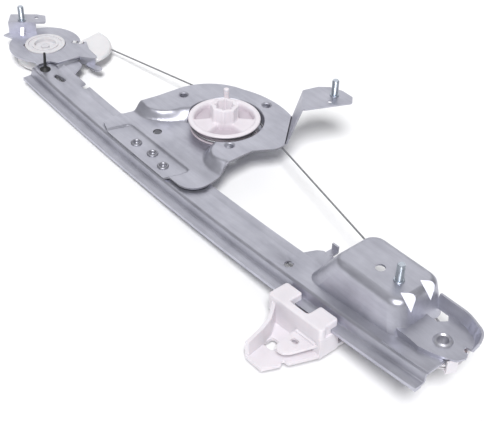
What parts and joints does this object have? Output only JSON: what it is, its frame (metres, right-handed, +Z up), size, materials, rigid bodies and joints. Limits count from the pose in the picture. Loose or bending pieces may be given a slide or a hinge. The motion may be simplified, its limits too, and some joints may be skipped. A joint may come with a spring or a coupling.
{
  "type": "window regulator",
  "caption": "Cable-driven window regulator: a curved pressed-steel guide rail with a drum plate, grooved pulleys, a taut cable and a nylon glass carrier.",
  "frame": {"origin": "on the drum's axis at the level of the motor's seat on the drum plate", "axes": "+X along the rail towards its lower end, +Y from the guide lip towards the drum, +Z up along the studs"},
  "size_m": [0.57, 0.22, 0.081],
  "materials": {
    "zinc_sheet": "satin zinc plate",
    "rivet_steel": "satin",
    "stud_steel": "bright zinc",
    "cable_steel": "bare",
    "nipple_zinc": "cast",
    "white_nylon": "satin natural",
    "black_rubber": "matt"
  },
  "bodies": {
    "frame": {"guide_rail": "zinc_sheet", "drum_plate": "zinc_sheet", "clinch_rivet_1": "rivet_steel", "clinch_rivet_2": "rivet_steel", "clinch_rivet_3": "rivet_steel", "stud_upper": "stud_steel", "stud_arm": "stud_steel", "stud_lower": "stud_steel", "pulley_pin": "rivet_steel", "pulley_rivet": "rivet_steel", "lower_pulley_cover": "white_nylon", "cable_guide": "white_nylon", "end_stop": "black_rubber", "cable_upper": "cable_steel", "cable_lower": "cable_steel"},
    "drum": {"cable_drum": "white_nylon", "drum_peg": "white_nylon"},
    "upper_wheel": {"upper_pulley": "white_nylon"},
    "lower_wheel": {"lower_pulley": "white_nylon"},
    "glass_carrier": {"carrier": "white_nylon", "glass_clamp": "white_nylon", "cable_nipple_upper": "nipple_zinc", "cable_nipple_lower": "nipple_zinc"}
  },
  "joints": [
    {"name": "carrier_travel", "type": "hinge", "parent": "frame", "child": "glass_carrier", "pos_m": [0.0615, 0, 2.3535], "axis": [0, 1, 0], "range_deg": [-0.87, 8.1]},
    {"name": "drum_spin", "type": "hinge", "parent": "frame", "child": "drum", "pos_m": [0, 0, 0], "axis": [0, 0, 1], "range_deg": [-689.3, 76.7]},
    {"name": "upper_pulley_spin", "type": "hinge", "parent": "frame", "child": "upper_wheel", "pos_m": [-0.205, -0.052, -0.008], "axis": [0, 0, 1], "range_deg": [-1133.4, 124.4]},
    {"name": "lower_pulley_spin", "type": "hinge", "parent": "frame", "child": "lower_wheel", "pos_m": [0.2906, -0.0547, -0.0087], "axis": [0, 0, 1], "range_deg": [-1346.8, 147.3]}
  ],
  "couplings": [
    {"joint": "drum_spin", "follows": "carrier_travel", "ratio": -84.729},
    {"joint": "upper_pulley_spin", "follows": "carrier_travel", "ratio": -139.55},
    {"joint": "lower_pulley_spin", "follows": "carrier_travel", "ratio": -165.9}
  ]
}
